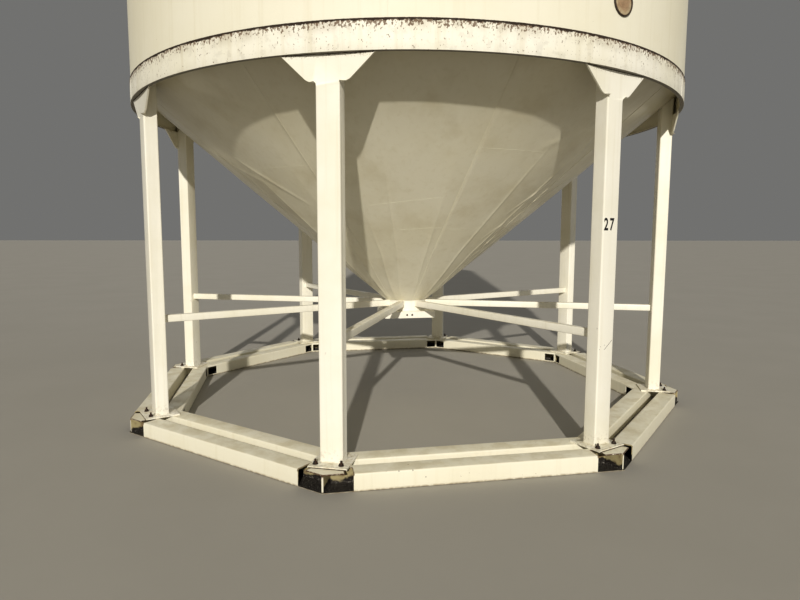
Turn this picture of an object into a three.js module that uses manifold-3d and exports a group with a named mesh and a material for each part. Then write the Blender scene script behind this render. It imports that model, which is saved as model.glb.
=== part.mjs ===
// Smooth-wall grain silo: a round bin on a hopper cone, carried by eight posts on a double octagonal skid.
// Millimetres, +Z up, front towards -Y, origin on the ground below the bin's axis.
import * as THREE from "three";
import { mergeVertices } from "three/addons/utils/BufferGeometryUtils.js";
import Module from "manifold-3d";

const wasm = await Module();
wasm.setup();

// Driving dimensions
const GAP = 0.3; // left between pieces that touch
const AROUND = 96; // facets round the bin
const SIDES = 8;
const SIDE_STEP = (2 * Math.PI) / SIDES;
const MITRE_SLOPE = Math.tan(SIDE_STEP / 2);

const WALL_RADIUS = 2143;
const WALL_SHEET = 4;
const WALL_HEIGHT = 4877;
const WALL_FOOT_Z = 2285;

const BAND_RADIUS = 2149;
const BAND_BOTTOM_Z = 2280;
const BAND_HEIGHT = 154;
const BAND_FLANGE = 27; // how far the band's lower flange reaches inwards

const CONE_RIM_Z = 2434;
const CONE_TIP_RADIUS = 181;
const CONE_TIP_Z = 800;
const CONE_SHEET = 5;
const CONE_SEAM = 4.9; // azimuth of the hopper's first radial seam, in degrees

const ROOF_SLOPE = THREE.MathUtils.degToRad(28);
const ROOF_SHEET = 4;
const EAVE_RADIUS = 2186;
const EAVE_LIP = 40;

const FILL_RADIUS = 305;
const FILL_SHEET = 5;
const FILL_STAND = 180; // how far the fill collar stands above the roof's hole
const LID_RADIUS = 332;
const LID_SHEET = 4;
const LID_SKIRT = 55;
const LID_RISE = 70;

const RAIL_HEIGHT = 102;
const RAIL_SHEET = 5;
const RAIL_CORNER = 9;
const OUTER_RAIL = { face: 2110, back: 1983 };
const INNER_RAIL = { face: 1908, back: 1781 };
// The cuts start and the slots end at distances from the middle of a rail.
const ACCESS = { start: 704, depth: 10, sill: 6, slotEnd: 750, slotBack: 2014 };
const INNER_ACCESS = { length: 100, height: 72, land: 9 };

const POST_FACE = 2119; // distance of the post's front face from the axis
const POST_WIDTH = 133;
const POST_DEPTH = 89;
const POST_SHEET = 5;
const POST_CORNER = 9;
const FOOT_PLATE = { width: 222, outer: 2192, inner: 1970, thickness: 10 };
const GUSSET = { topHalf: 254, bottomHalf: 108, bottomZ: 2142, thickness: 10 };

const STRUT_SIZE = 50;
const STRUT_SHEET = 4;
const STRUT_CORNER = 6;
const STRUT_Z = 774;

const NECK_RADIUS = 178;
const NECK_SHEET = 8;
const BOOT = { top: 711, bottom: 655, half: 215, sheet: 8 };

const SIGHT = { azimuth: 22.4, z: 2640, radius: 77, bezel: 8, thickness: 10, pane: 5 };

const LADDER = {
  azimuth: 135,
  bottomZ: 2560,
  spliceZ: 5140,
  topZ: 7720,
  centre: 2333,
  halfWidth: 200,
  railDepth: 40,
  railThickness: 10,
  rungRadius: 13,
  rungStep: 300,
};
const BRACKET = {
  low: 2860,
  high: 7030,
  barThickness: 8,
  barHeight: 60,
  stand: 50,
  plate: 120,
  plateThickness: 8,
};

// Derived heights
const wallTopZ = WALL_FOOT_Z + GAP + WALL_HEIGHT;
const plateTopZ = RAIL_HEIGHT + GAP + FOOT_PLATE.thickness;
const coneRimRadius = WALL_RADIUS - WALL_SHEET - GAP;
const coneSlope = (CONE_RIM_Z - CONE_TIP_Z) / (coneRimRadius - CONE_TIP_RADIUS);
const coneRun = CONE_SHEET * Math.hypot(1, 1 / coneSlope); // the sheet measured along a radius
const roofUnder = (radius) => wallTopZ + GAP + (WALL_RADIUS - radius) * Math.tan(ROOF_SLOPE);
const roofTop = (radius) => roofUnder(radius) + ROOF_SHEET / Math.cos(ROOF_SLOPE);
const fillTopZ = roofTop(FILL_RADIUS) + FILL_STAND;

// Materials
const cream = new THREE.MeshStandardMaterial({ color: 0xe9e1c3, roughness: 0.45, metalness: 0 });
const galvanised = new THREE.MeshStandardMaterial({ color: 0xa3a8aa, roughness: 0.4, metalness: 1 });
const bezelBlack = new THREE.MeshStandardMaterial({ color: 0x4a3c30, roughness: 0.6, metalness: 0 });
const paneBrown = new THREE.MeshStandardMaterial({ color: 0xa58a66, roughness: 0.25, metalness: 0 });

// Geometry to solid and back
function toSolid(geometry) {
  const bare = geometry.clone();
  bare.deleteAttribute("normal");
  bare.deleteAttribute("uv");
  const merged = mergeVertices(bare, 1e-4);
  return new wasm.Manifold(
    new wasm.Mesh({
      numProp: 3,
      vertProperties: merged.attributes.position.array,
      triVerts: new Uint32Array(merged.index.array),
    }),
  );
}

function toGeometry(solid) {
  const mesh = solid.getMesh();
  const geometry = new THREE.BufferGeometry();
  geometry.setAttribute("position", new THREE.BufferAttribute(mesh.vertProperties, 3));
  geometry.setIndex(new THREE.BufferAttribute(mesh.triVerts, 1));
  geometry.computeVertexNormals();
  return geometry;
}

// Basic shapes
function block([x0, x1], [y0, y1], [z0, z1]) {
  const geometry = new THREE.BoxGeometry(x1 - x0, y1 - y0, z1 - z0);
  return geometry.translate((x0 + x1) / 2, (y0 + y1) / 2, (z0 + z1) / 2);
}

function prism(points, [z0, z1]) {
  const shape = new THREE.Shape(points.map(([x, y]) => new THREE.Vector2(x, y)));
  return new THREE.ExtrudeGeometry(shape, { depth: z1 - z0, bevelEnabled: false }).translate(0, 0, z0);
}

// A plate drawn as [x, z] points, with its front face at a distance from the axis towards -Y.
function uprightPlate(points, face, thickness) {
  const shape = new THREE.Shape(points.map(([x, z]) => new THREE.Vector2(x, z)));
  const geometry = new THREE.ExtrudeGeometry(shape, { depth: thickness, bevelEnabled: false });
  return geometry.rotateX(Math.PI / 2).translate(0, thickness - face, 0);
}

// A bar with rounded edges along Z, centred on the origin.
function roundedBar(width, depth, corner, length) {
  const shape = new THREE.Shape();
  const x = width / 2 - corner;
  const y = depth / 2 - corner;
  const quarter = Math.PI / 2;
  shape.absarc(x, -y, corner, -quarter, 0, false);
  shape.absarc(x, y, corner, 0, quarter, false);
  shape.absarc(-x, y, corner, quarter, 2 * quarter, false);
  shape.absarc(-x, -y, corner, 2 * quarter, 3 * quarter, false);
  const settings = { depth: length, bevelEnabled: false, curveSegments: 2 };
  return new THREE.ExtrudeGeometry(shape, settings).translate(0, 0, -length / 2);
}

// A closed [radius, height] outline turned about the bin's axis, outside going up.
function turned(outline, facets = AROUND) {
  const closed = [...outline, outline[0]].map(([r, z]) => new THREE.Vector2(r, z));
  return new THREE.LatheGeometry(closed, facets).rotateX(Math.PI / 2);
}

// The bin's wall between two azimuths, measured from the front towards the right.
function wallSegment(fromDegrees, toDegrees) {
  const trim = GAP / 2 / WALL_RADIUS;
  const start = THREE.MathUtils.degToRad(fromDegrees - 90) + trim;
  const end = THREE.MathUtils.degToRad(toDegrees - 90) - trim;
  const shape = new THREE.Shape();
  shape.absarc(0, 0, WALL_RADIUS, start, end, false);
  shape.absarc(0, 0, WALL_RADIUS - WALL_SHEET, end, start, true);
  const curveSegments = (AROUND * (toDegrees - fromDegrees)) / 360 / 2; // an arc takes two facets a segment
  const settings = { depth: WALL_HEIGHT, bevelEnabled: false, curveSegments };
  return new THREE.ExtrudeGeometry(shape, settings).translate(0, 0, WALL_FOOT_Z + GAP);
}

// The quarter of a turned shape that starts at an azimuth and runs on to the right.
function quarterFrom(degrees, geometry) {
  const reach = [GAP / 2, 2 * EAVE_RADIUS];
  const wedge = block(reach, reach, [0, 2 * wallTopZ]).rotateZ(THREE.MathUtils.degToRad(degrees - 90));
  return toGeometry(toSolid(geometry).intersect(toSolid(wedge)));
}

// The hopper hangs from the wall's inside, so the wall's foot is a skirt round it.
function hopperCone() {
  return turned([
    [CONE_TIP_RADIUS, CONE_TIP_Z],
    [coneRimRadius, CONE_RIM_Z],
    [coneRimRadius - coneRun, CONE_RIM_Z],
    [CONE_TIP_RADIUS - coneRun, CONE_TIP_Z],
  ]);
}

// What the hopper cone keeps clear, for coping the posts under it.
function coneClearance() {
  const drop = GAP * Math.hypot(1, coneSlope);
  return turned([
    [0, CONE_TIP_Z - drop],
    [CONE_TIP_RADIUS, CONE_TIP_Z - drop],
    [coneRimRadius + 200, CONE_RIM_Z + 200 * coneSlope - drop],
    [0, CONE_RIM_Z + 200 * coneSlope - drop],
  ]);
}

// The band round the wall's foot, with a flange below that the wall stands on.
function supportBand() {
  const inside = WALL_RADIUS + GAP;
  const rim = BAND_RADIUS - BAND_FLANGE;
  return turned([
    [rim, BAND_BOTTOM_Z],
    [BAND_RADIUS, BAND_BOTTOM_Z],
    [BAND_RADIUS, BAND_BOTTOM_Z + BAND_HEIGHT],
    [inside, BAND_BOTTOM_Z + BAND_HEIGHT],
    [inside, WALL_FOOT_Z],
    [rim, WALL_FOOT_Z],
  ]);
}

function roofCone() {
  const hole = FILL_RADIUS + GAP;
  const lipInside = EAVE_RADIUS - ROOF_SHEET;
  return turned([
    [hole, roofUnder(hole)],
    [lipInside, roofUnder(lipInside)],
    [lipInside, roofUnder(lipInside) - EAVE_LIP],
    [EAVE_RADIUS, roofUnder(lipInside) - EAVE_LIP],
    [EAVE_RADIUS, roofTop(EAVE_RADIUS)],
    [hole, roofTop(hole)],
  ]);
}

function fillCollar() {
  const foot = roofUnder(FILL_RADIUS) - 30;
  return turned([
    [FILL_RADIUS - FILL_SHEET, foot],
    [FILL_RADIUS, foot],
    [FILL_RADIUS, fillTopZ],
    [FILL_RADIUS - FILL_SHEET, fillTopZ],
  ]);
}

function fillLid() {
  const skirtInside = LID_RADIUS - LID_SHEET;
  const edge = fillTopZ + GAP;
  return turned([
    [0, edge],
    [skirtInside, edge],
    [skirtInside, edge - LID_SKIRT],
    [LID_RADIUS, edge - LID_SKIRT],
    [LID_RADIUS, edge + LID_SHEET],
    [0, edge + LID_SHEET + LID_RISE],
  ]);
}

// The space between two mitre planes, less an inset from each, drawn for the front side.
function mitreSpace({ face, back }, inset) {
  const endAt = (apothem) => apothem * MITRE_SLOPE - inset / Math.cos(SIDE_STEP / 2);
  const outside = face + 10;
  const inside = back - 10;
  const outline = [
    [-endAt(outside), -outside],
    [endAt(outside), -outside],
    [endAt(inside), -inside],
    [-endAt(inside), -inside],
  ];
  return toSolid(prism(outline, [-10, RAIL_HEIGHT + 10]));
}

// One side of an octagonal skid ring: a tube mitred and capped at both ends.
function skidTube(rail) {
  const depth = rail.face - rail.back;
  const bar = (thinner) => {
    const corner = RAIL_CORNER - thinner;
    const drawn = roundedBar(RAIL_HEIGHT - 2 * thinner, depth - 2 * thinner, corner, rail.face);
    const along = drawn.rotateY(Math.PI / 2).translate(0, -(rail.face + rail.back) / 2, RAIL_HEIGHT / 2);
    return toSolid(along).intersect(mitreSpace(rail, GAP / 2 + thinner));
  };
  return bar(0).subtract(bar(RAIL_SHEET));
}

function mirroredBlocks([x0, x1], y, z) {
  return toSolid(block([x0, x1], y, z)).add(toSolid(block([-x1, -x0], y, z)));
}

// The outer rails are cut open in front at both ends, for reaching the post bolts, and slotted on top where
// the cut starts.
function outerRail() {
  const { face } = OUTER_RAIL;
  const { start, depth, sill, slotEnd, slotBack } = ACCESS;
  const above = RAIL_HEIGHT + 10;
  const front = mirroredBlocks([start, face * MITRE_SLOPE + 10], [-face - 10, -face + depth], [sill, above]);
  const slot = mirroredBlocks([start, slotEnd], [-face - 10, -slotBack], [RAIL_HEIGHT - RAIL_CORNER, above]);
  return toGeometry(skidTube(OUTER_RAIL).subtract(front).subtract(slot));
}

// The inner rails have a smaller hand hole at both ends, on the side towards the middle.
function innerRail() {
  const { back } = INNER_RAIL;
  const { length, height, land } = INNER_ACCESS;
  const end = back * MITRE_SLOPE - land;
  const cut = mirroredBlocks(
    [end - length, end],
    [-back - 2 * RAIL_SHEET, -back + 10],
    [(RAIL_HEIGHT - height) / 2, (RAIL_HEIGHT + height) / 2],
  );
  return toGeometry(skidTube(INNER_RAIL).subtract(cut));
}

// A post with its foot plate and its gusset, drawn for azimuth 0. Its shaft runs up inside the skirt and is
// coped under the hopper, and the gusset ends below the band.
function postWeldment() {
  const gussetTopZ = BAND_BOTTOM_Z - GAP;
  const shaft = (thinner, [z0, z1]) => {
    const width = POST_WIDTH - 2 * thinner;
    const drawn = roundedBar(width, POST_DEPTH - 2 * thinner, POST_CORNER - thinner, z1 - z0);
    return toSolid(drawn.translate(0, POST_DEPTH / 2 - POST_FACE, (z0 + z1) / 2));
  };
  const { width, outer, inner } = FOOT_PLATE;
  const plate = toSolid(block([-width / 2, width / 2], [-outer, -inner], [RAIL_HEIGHT + GAP, plateTopZ]));
  const outline = [
    [-GUSSET.bottomHalf, GUSSET.bottomZ],
    [GUSSET.bottomHalf, GUSSET.bottomZ],
    [GUSSET.topHalf, gussetTopZ],
    [-GUSSET.topHalf, gussetTopZ],
  ];
  const gusset = toSolid(uprightPlate(outline, POST_FACE, GUSSET.thickness));
  const foot = plateTopZ - 1;
  const bore = shaft(POST_SHEET, [foot - 10, CONE_RIM_Z + 10]);
  const tube = shaft(0, [foot, CONE_RIM_Z]).add(gusset).subtract(bore);
  return toGeometry(tube.add(plate).subtract(toSolid(coneClearance())));
}

// A level square tube from the neck to a post, drawn for azimuth 0.
function strut() {
  const inner = NECK_RADIUS + GAP;
  const outer = POST_FACE - POST_DEPTH - GAP;
  const bar = (thinner, extra) => {
    const size = STRUT_SIZE - 2 * thinner;
    const drawn = roundedBar(size, size, STRUT_CORNER - thinner, outer - inner + extra);
    return toSolid(drawn.rotateX(Math.PI / 2).translate(0, -(outer + inner) / 2, STRUT_Z));
  };
  return toGeometry(bar(0, 0).subtract(bar(STRUT_SHEET, 20)));
}

function neckCollar() {
  return turned([
    [NECK_RADIUS - NECK_SHEET, BOOT.top + GAP],
    [NECK_RADIUS, BOOT.top + GAP],
    [NECK_RADIUS, CONE_TIP_Z - GAP],
    [NECK_RADIUS - NECK_SHEET, CONE_TIP_Z - GAP],
  ]);
}

// The square frame round the discharge opening, with a top plate that the neck stands on.
function gateFrame() {
  const { top, bottom, half, sheet } = BOOT;
  const square = (reach, z) => toSolid(block([-reach, reach], [-reach, reach], z));
  const radius = NECK_RADIUS - NECK_SHEET;
  const drawn = new THREE.CylinderGeometry(radius, radius, 4 * sheet, AROUND);
  const hole = toSolid(drawn.rotateX(Math.PI / 2).translate(0, 0, top));
  const inside = square(half - sheet, [bottom - sheet, top - sheet]);
  return toGeometry(square(half, [bottom, top]).subtract(inside).subtract(hole));
}

// A round port on the wall, drawn about +Z and then stood up facing -Y.
function sightPiece(outline) {
  const back = WALL_RADIUS + GAP / 2;
  return turned(outline, 40).rotateX(Math.PI / 2).translate(0, -back, SIGHT.z);
}

function sightBezel() {
  const inside = SIGHT.radius - SIGHT.bezel;
  return sightPiece([
    [inside, 0],
    [SIGHT.radius, 0],
    [SIGHT.radius, SIGHT.thickness],
    [inside, SIGHT.thickness],
  ]);
}

function sightPane() {
  const radius = SIGHT.radius - SIGHT.bezel - GAP;
  return sightPiece([
    [0, 0],
    [radius, 0],
    [radius, SIGHT.pane],
    [0, SIGHT.pane],
  ]);
}

// One length of the fixed wall ladder, drawn for azimuth 0.
function ladderLength([z0, z1]) {
  const { bottomZ, centre, halfWidth, railDepth, railThickness, rungRadius, rungStep } = LADDER;
  const railY = [-centre - railDepth / 2, -centre + railDepth / 2];
  let solid = mirroredBlocks([halfWidth - railThickness, halfWidth], railY, [z0, z1]);
  for (let z = bottomZ + rungStep / 2; z < z1; z += rungStep) {
    if (z < z0) continue;
    const rung = new THREE.CylinderGeometry(rungRadius, rungRadius, 2 * halfWidth - 2, 12);
    solid = solid.add(toSolid(rung.rotateZ(Math.PI / 2).translate(0, -centre, z)));
  }
  return toGeometry(solid);
}

// A bar behind both ladder rails, held off the wall by a stand and a plate.
function ladderBracket(z) {
  const { barThickness, barHeight, stand, plate, plateThickness } = BRACKET;
  const barFront = -LADDER.centre + LADDER.railDepth / 2 + GAP;
  const plateBack = -WALL_RADIUS - GAP;
  const across = (width, height, y) =>
    toSolid(block([-width / 2, width / 2], y, [z - height / 2, z + height / 2]));
  const bar = across(2 * LADDER.halfWidth, barHeight, [barFront, barFront + barThickness]);
  const post = across(stand, stand, [barFront + 1, plateBack - 1]);
  return toGeometry(bar.add(post).add(across(plate, plate, [plateBack - plateThickness, plateBack])));
}

// Assembly
const silo = new THREE.Group();

function place(name, geometry, material, degrees = 0) {
  const mesh = new THREE.Mesh(geometry, material.clone());
  mesh.name = name;
  mesh.rotation.z = THREE.MathUtils.degToRad(degrees);
  silo.add(mesh);
}

const POST_NAMES = [
  "front_right",
  "right_front",
  "right_back",
  "back_right",
  "back_left",
  "left_back",
  "left_front",
  "front_left",
];
const SIDE_NAMES = ["front", "front_right", "right", "back_right", "back", "back_left", "left", "front_left"];
const QUARTERS = ["front", "right", "back", "left"];
const CORNERS = ["front_right", "back_right", "back_left", "front_left"];

const outer = outerRail();
const inner = innerRail();
const post = postWeldment();
const brace = strut();

SIDE_NAMES.forEach((name, i) => {
  place(`outer_rail_${name}`, outer, cream, i * 45);
  place(`inner_rail_${name}`, inner, cream, i * 45);
});
POST_NAMES.forEach((name, i) => {
  place(`post_${name}`, post, cream, 22.5 + i * 45);
  place(`strut_${name}`, brace, cream, 22.5 + i * 45);
});
QUARTERS.forEach((name, i) => place(`wall_${name}`, wallSegment(i * 90 - 45, i * 90 + 45), cream));

CORNERS.forEach((name, i) => {
  place(`hopper_${name}`, quarterFrom(CONE_SEAM + i * 90, hopperCone()), cream);
  place(`roof_${name}`, quarterFrom(i * 90, roofCone()), cream);
});
place("support_band", supportBand(), cream);
place("neck_collar", neckCollar(), cream);
place("gate_frame", gateFrame(), cream);
place("fill_collar", fillCollar(), cream);
place("fill_lid", fillLid(), cream);
place("sight_bezel", sightBezel(), bezelBlack, SIGHT.azimuth);
place("sight_pane", sightPane(), paneBrown, SIGHT.azimuth);
place("ladder_lower", ladderLength([LADDER.bottomZ, LADDER.spliceZ]), galvanised, LADDER.azimuth);
place("ladder_upper", ladderLength([LADDER.spliceZ + GAP, LADDER.topZ]), galvanised, LADDER.azimuth);
for (let i = 0; i < 4; i += 1) {
  const z = BRACKET.low + ((BRACKET.high - BRACKET.low) * i) / 3;
  place(`ladder_bracket_${i + 1}`, ladderBracket(z), galvanised, LADDER.azimuth);
}

export default silo;
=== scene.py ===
import math
import random
from functools import partial

import bmesh
import bpy
from mathutils import Matrix, Vector, noise


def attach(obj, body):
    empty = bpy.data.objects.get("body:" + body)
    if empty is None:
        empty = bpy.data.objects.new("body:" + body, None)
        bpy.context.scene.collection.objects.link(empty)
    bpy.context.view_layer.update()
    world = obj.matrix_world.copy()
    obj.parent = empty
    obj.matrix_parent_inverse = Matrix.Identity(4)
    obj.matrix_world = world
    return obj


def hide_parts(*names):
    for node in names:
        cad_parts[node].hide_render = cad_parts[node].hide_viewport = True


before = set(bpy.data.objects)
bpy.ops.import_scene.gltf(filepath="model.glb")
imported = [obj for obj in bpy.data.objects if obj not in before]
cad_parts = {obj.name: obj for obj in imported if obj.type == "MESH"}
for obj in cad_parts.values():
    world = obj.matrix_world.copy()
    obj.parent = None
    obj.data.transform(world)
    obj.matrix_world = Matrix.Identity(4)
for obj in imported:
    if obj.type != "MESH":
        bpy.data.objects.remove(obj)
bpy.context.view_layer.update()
scene = bpy.context.scene
print("stage: frame loaded with", len(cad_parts), "nodes")

# Metres, +Z up. An azimuth is measured at the bin's axis, from the front (-Y) towards the right (+X).


def around(azimuth, radius, z):
    turn = math.radians(azimuth)
    return Vector((radius * math.sin(turn), -radius * math.cos(turn), z))


def turnedTo(azimuth):
    return Matrix.Rotation(math.radians(azimuth), 4, "Z")


# What stands where, as the frame has it
size = {
    "wallRadius": 2.143,
    "wallSheet": 0.004,
    "wallFoot": 2.2853,
    "wallTop": 7.1623,
    "bandRadius": 2.149,
    "bandFoot": 2.280,
    "bandTop": 2.434,
    "bandFlange": 0.027,
    "coneRim": (2.1387, 2.434),
    "coneTip": (0.181, 0.800),
    "postFace": 2.119,
    "postBack": 2.030,
    "postWidth": 0.133,
    "plateTop": 0.1123,
    "plateOuter": 2.192,
    "gussetFoot": 2.142,
    "gussetFootHalf": 0.108,
    "gussetSheet": 0.010,
    "railHeight": 0.102,
    "strutZ": 0.774,
    "neckRadius": 0.178,
    "frameTop": 0.711,
    "frameHalf": 0.215,
    "roofSlope": math.radians(28),
    "eaveRadius": 2.186,
    "fillRadius": 0.305,
    "ladderAzimuth": 135,
    "gap": 0.0003,  # between pieces that touch
}
postAzimuths = [22.5 + 45 * i for i in range(8)]
sight = {
    "azimuth": 22.4,
    "z": 2.640,
    "radius": 0.077,
    "bezel": 0.008,
    "stand": 0.010,
    "lip": 0.003,
    "pane": 0.003,
    "crown": 0.004,
}


# Materials

def linear(code):
    parts = [int(code[i : i + 2], 16) / 255 for i in (1, 3, 5)]
    return [p / 12.92 if p <= 0.04045 else ((p + 0.055) / 1.055) ** 2.4 for p in parts] + [1.0]


# Adds a node with its settings and its inputs: each is a value, another node's output, or a node, which
# stands for its first output.
def add(tree, kind, inputs=None, **settings):
    node = tree.nodes.new(kind)
    for name, value in settings.items():
        setattr(node, name, value)
    for key, value in (inputs or {}).items():
        if isinstance(value, bpy.types.Node):
            value = value.outputs[0]
        if isinstance(value, bpy.types.NodeSocket):
            tree.links.new(value, node.inputs[key])
        else:
            node.inputs[key].default_value = value
    return node


# A new material with its tree, its points' places, and what draws clouds at those places
def startMaterial(name):
    material = bpy.data.materials.new(name)
    material.use_nodes = True
    tree = material.node_tree
    tree.nodes.clear()
    place = add(tree, "ShaderNodeTexCoord").outputs["Object"]
    return material, tree, place, partial(stain, tree, place)


# Cloudy patches of a real size in metres, soft between the two edge values. They may fade along a value,
# such as a height, from nothing at its first number to full at its second.
def stain(
    tree, place, span, edge, along=None, fade=(0, 1), strength=1.0, stretch=(1, 1, 1), detail=4.0, shift=0
):
    aside = (shift, 0.7 * shift, 0.4 * shift)
    scale = [s / span for s in stretch]
    moved = add(tree, "ShaderNodeMapping", {"Vector": place, "Location": aside, "Scale": scale})
    grain = {"Vector": moved, "Scale": 1.0, "Detail": detail, "Roughness": 0.6}
    cloud = add(tree, "ShaderNodeTexNoise", grain)
    limits = {"Value": cloud, "From Min": edge[0], "From Max": edge[1], "To Max": strength}
    mask = add(tree, "ShaderNodeMapRange", limits, interpolation_type="SMOOTHSTEP")
    if along is None:
        return mask
    run = {"Value": along, "From Min": fade[0], "From Max": fade[1]}
    reach = add(tree, "ShaderNodeMapRange", run, interpolation_type="SMOOTHSTEP")
    return add(tree, "ShaderNodeMath", {0: mask, 1: reach}, operation="MULTIPLY")


# Lays each (mask, colour, roughness) over the ones before it. A tint has no roughness of its own.
def finishMaterial(tree, base, gloss, layers, height, depth, metallic=0.0):
    colour, rough = base, gloss
    for mask, top, dull in layers:
        colour = add(tree, "ShaderNodeMix", {0: mask, 6: colour, 7: top}, data_type="RGBA").outputs[2]
        if dull is not None:
            rough = add(tree, "ShaderNodeMix", {0: mask, 2: rough, 3: dull}, data_type="FLOAT")
    bump = add(tree, "ShaderNodeBump", {"Strength": 1.0, "Distance": depth, "Height": height})
    surface = {"Base Color": colour, "Roughness": rough, "Metallic": metallic, "Normal": bump}
    shader = add(tree, "ShaderNodeBsdfPrincipled", surface)
    add(tree, "ShaderNodeOutputMaterial", {"Surface": shader})


paint = {
    "cream": linear("#EDE8D4"),
    "yellowed": linear("#E9E3CC"),
    "bright": linear("#F5F1E3"),
    "rain": linear("#CFC5A4"),
    "ledgeDirt": linear("#33261A"),
    "lichen": linear("#64482E"),
    "rust": linear("#7B4E2C"),
    "mud": linear("#8A7656"),
    "dust": linear("#C4B793"),
    "scuff": linear("#6E675A"),
    "grime": linear("#8F8468"),
    "burnt": linear("#5A4330"),
}
matt = 0.85  # the roughness of dry dirt


# Sprayed alkyd enamel on sheet steel: an even cream, slightly yellowed in clouds, with a soft gloss and a
# fine orange peel. The peel is really 2 mm across and is drawn at 9 mm, so that it shows.
def creamEnamel(name, base, worn, gloss, marks):
    material, tree, place, cloud = startMaterial(name + "CreamEnamel")
    axes = add(tree, "ShaderNodeSeparateXYZ", {"Vector": place}).outputs
    normal = add(tree, "ShaderNodeNewGeometry").outputs["Normal"]
    upward = add(tree, "ShaderNodeSeparateXYZ", {"Vector": normal}).outputs["Z"]
    rain = cloud(0.035, (0.5, 0.75), strength=0.18, stretch=(1, 1, 0.03), shift=3)
    stains = [(cloud(0.65, (0.35, 0.7)), worn, None), (rain, "rain", None)]
    stains += marks(tree, cloud, axes, upward)
    layers = [(mask, paint[colour], dull) for mask, colour, dull in stains]
    peel = cloud(0.009, (0.3, 0.7), detail=1.0, shift=5)
    finishMaterial(tree, paint[base], gloss, layers, peel, 0.00012)
    return material


# Rain leaves faint brown runs under the eave and specks of lichen here and there.
def wallMarks(tree, cloud, axes, upward):
    eave = cloud(0.05, (0.52, 0.68), axes["Z"], (6.6, 7.15), 0.5, (1, 1, 0.12), shift=8)
    spots = cloud(0.012, (0.73, 0.78), strength=0.6, shift=11)
    return [(eave, "mud", 0.6), (spots, "lichen", 0.8)]


# The ledge on top of the band holds black dirt, which hangs over its edge in ragged crumbs, and the faces
# turned downwards get the same black as painted shade. Brown specks thin out downwards, and reach further
# down in some stretches.
def bandMarks(tree, cloud, axes, upward):
    below = add(tree, "ShaderNodeMath", {0: size["bandTop"], 1: axes["Z"]}, operation="SUBTRACT")
    ledge = cloud(0.05, (0.1, 0.4), upward, (0.5, 0.8), shift=2)
    uneven = cloud(0.11, (0.3, 0.7), shift=14)
    hang = cloud(0.03, (0.3, 0.72), uneven, (-0.6, 0.9), 0.012, detail=9.0, shift=4)
    over = add(tree, "ShaderNodeMath", {0: hang, 1: below}, operation="SUBTRACT")
    ragged = add(tree, "ShaderNodeMapRange", {"Value": over, "From Min": -0.009, "From Max": -0.005})
    near = {"Value": below, "From Max": 0.06, "To Min": 0.60, "To Max": 0.30}
    common = add(tree, "ShaderNodeMapRange", near)
    crowd = cloud(0.6, (0.42, 0.66), below, (0.15, 0.02), 0.08, shift=6)
    level = add(tree, "ShaderNodeMath", {0: common, 1: crowd}, operation="ADD")
    grain = cloud(0.012, (0.0, 1.0), stretch=(1, 1, 0.7), detail=7.0, shift=9)
    rise = add(tree, "ShaderNodeMath", {0: level, 1: grain}, operation="SUBTRACT")
    full = {"Value": rise, "From Min": 0.0, "From Max": 0.06, "To Max": 0.85}
    speck = add(tree, "ShaderNodeMapRange", full)
    haze = cloud(0.09, (0.35, 0.7), below, (0.09, 0.0), 0.45, (1, 1, 0.5), shift=16)
    runs = cloud(0.06, (0.5, 0.7), strength=0.25, stretch=(1, 1, 0.1), shift=13)
    smudges = cloud(0.05, (0.52, 0.68), strength=0.14, shift=19)
    # Painted shade: the faces turned downwards, the flange's underside among them, get the ledge dirt's
    # black.
    under = cloud(0.04, (0.0, 0.2), upward, (-0.5, -0.8), 0.75, shift=20)
    return [
        (runs, "dust", None),
        (smudges, "scuff", None),
        (under, "ledgeDirt", matt),
        (haze, "mud", None),
        (speck, "lichen", matt),
        (ragged, "ledgeDirt", matt),
        (ledge, "ledgeDirt", matt),
    ]


# Dust clings to the hopper in clouds, and a grey painted shade darkens it towards the rim.
def hopperMarks(tree, cloud, axes, upward):
    dust = cloud(0.3, (0.45, 0.75), strength=0.3, shift=17)
    # Painted shade: the cone grows darker towards its rim.
    grime = cloud(0.5, (0.0, 0.4), axes["Z"], (1.85, 2.35), 0.4, shift=15)
    spots = cloud(0.01, (0.74, 0.79), strength=0.5, shift=18)
    return [(dust, "dust", None), (grime, "grime", None), (spots, "lichen", 0.8)]


# The distance of a point from the bin's axis
def fromAxis(tree, axes):
    level = add(tree, "ShaderNodeCombineXYZ", {"X": axes["X"], "Y": axes["Y"]})
    return add(tree, "ShaderNodeVectorMath", {0: level}, operation="LENGTH").outputs["Value"]


# Brown specks along the top of the gussets, scuffs at working height, mud splashed up from the ground.
def postMarks(tree, cloud, axes, upward):
    high = axes["Z"]
    radius = fromAxis(tree, axes)
    front = add(tree, "ShaderNodeMapRange", {"Value": radius, "From Min": 2.112, "From Max": 2.116})
    crumbs = cloud(0.008, (0.54, 0.60), high, (2.250, 2.284), detail=6.0, shift=21)
    top = add(tree, "ShaderNodeMath", {0: crumbs, 1: front}, operation="MULTIPLY")
    scuffs = cloud(0.03, (0.69, 0.74), high, (1.3, 0.5), 0.5, (1, 1, 0.5), detail=6.0, shift=22)
    splash = cloud(0.02, (0.5, 0.62), high, (0.22, 0.1), 0.35, detail=5.0, shift=23)
    plate = cloud(0.05, (0.4, 0.6), high, (0.122, 0.112), 0.4, shift=24)
    return [
        (splash, "mud", matt),
        (scuffs, "scuff", matt),
        (plate, "dust", matt),
        (top, "lichen", matt),
    ]


# Where the outer rails are cut: the cuts start and the slots end at distances from the middle of a side, and
# the slots' backs and the cut edges of the flanges are at distances from the axis.
cut = {"start": 0.704, "slotEnd": 0.750, "back": 2.014, "face": 2.100}


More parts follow.
